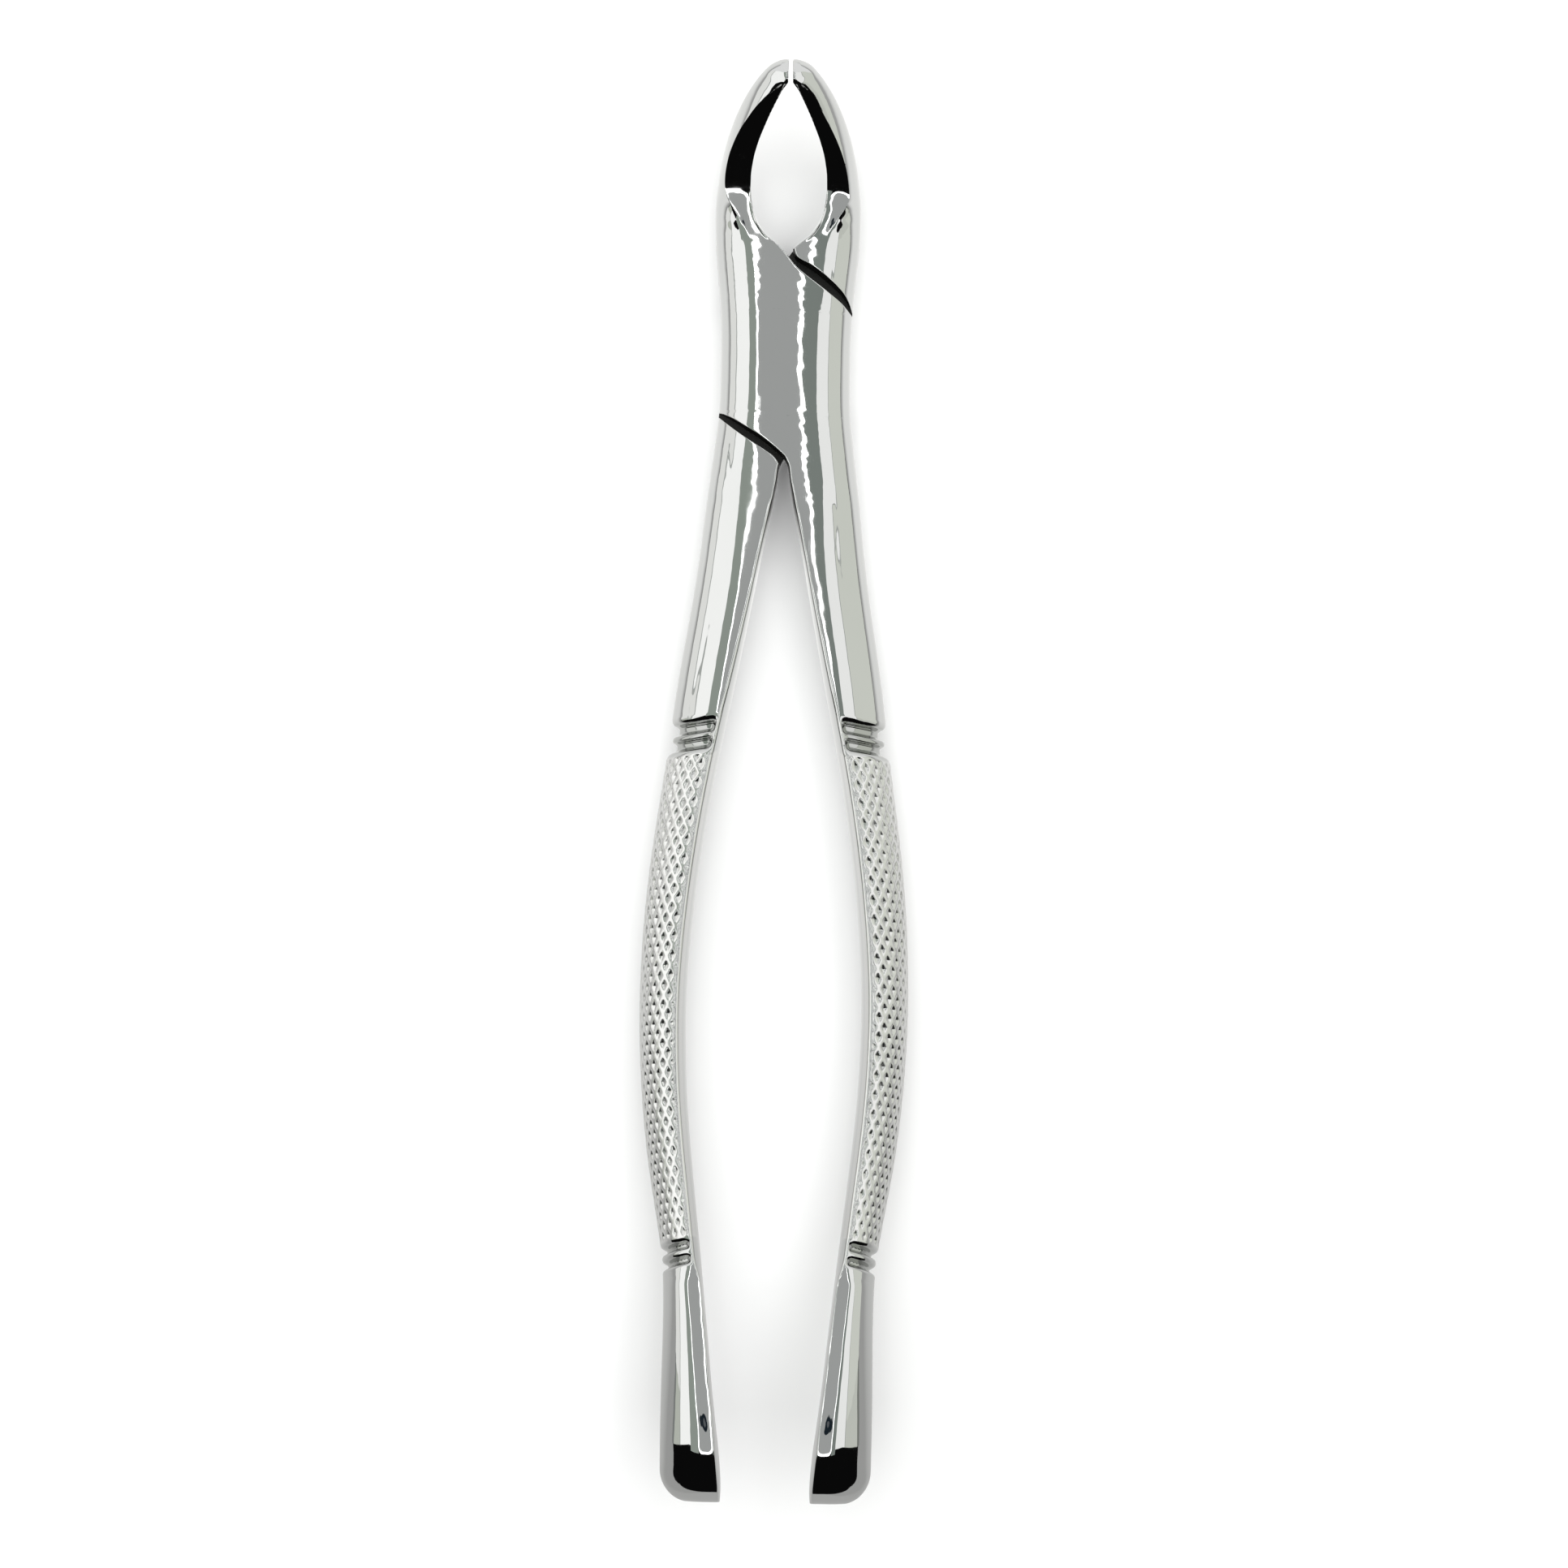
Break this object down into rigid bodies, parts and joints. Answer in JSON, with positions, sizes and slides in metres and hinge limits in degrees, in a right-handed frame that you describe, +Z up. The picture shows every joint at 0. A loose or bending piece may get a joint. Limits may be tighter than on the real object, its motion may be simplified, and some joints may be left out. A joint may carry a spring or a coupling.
{
  "type": "extraction forceps",
  "caption": "Hand forceps for drawing teeth: crossed forged arms in a lap joint, curved hollow beaks, ringed shanks and knurled grips with flared smooth ends.",
  "frame": {"origin": "bottom centre of the box round the closed forceps, on the surface it lies on", "axes": "+Y towards the beak tips along the tool, +X across it towards the arm whose leaf lies behind, +Z up, away from the resting face and the way the beaks curve; the hinge axis is parallel to Z"},
  "size_m": [0.0334, 0.175, 0.0213],
  "materials": {
    "arm_steel": "mirror polished stainless steel",
    "screw_steel": "polished stainless steel"
  },
  "bodies": {
    "front_half": {"front_arm": "arm_steel", "pivot_screw": "screw_steel"},
    "back_half": {"back_arm": "arm_steel"}
  },
  "joints": [
    {"name": "lap_joint", "type": "hinge", "parent": "front_half", "child": "back_half", "pos_m": [0, 0.05206, 0.00426], "axis": [0, 0, -1], "range_deg": [-0.5, 60]}
  ]
}
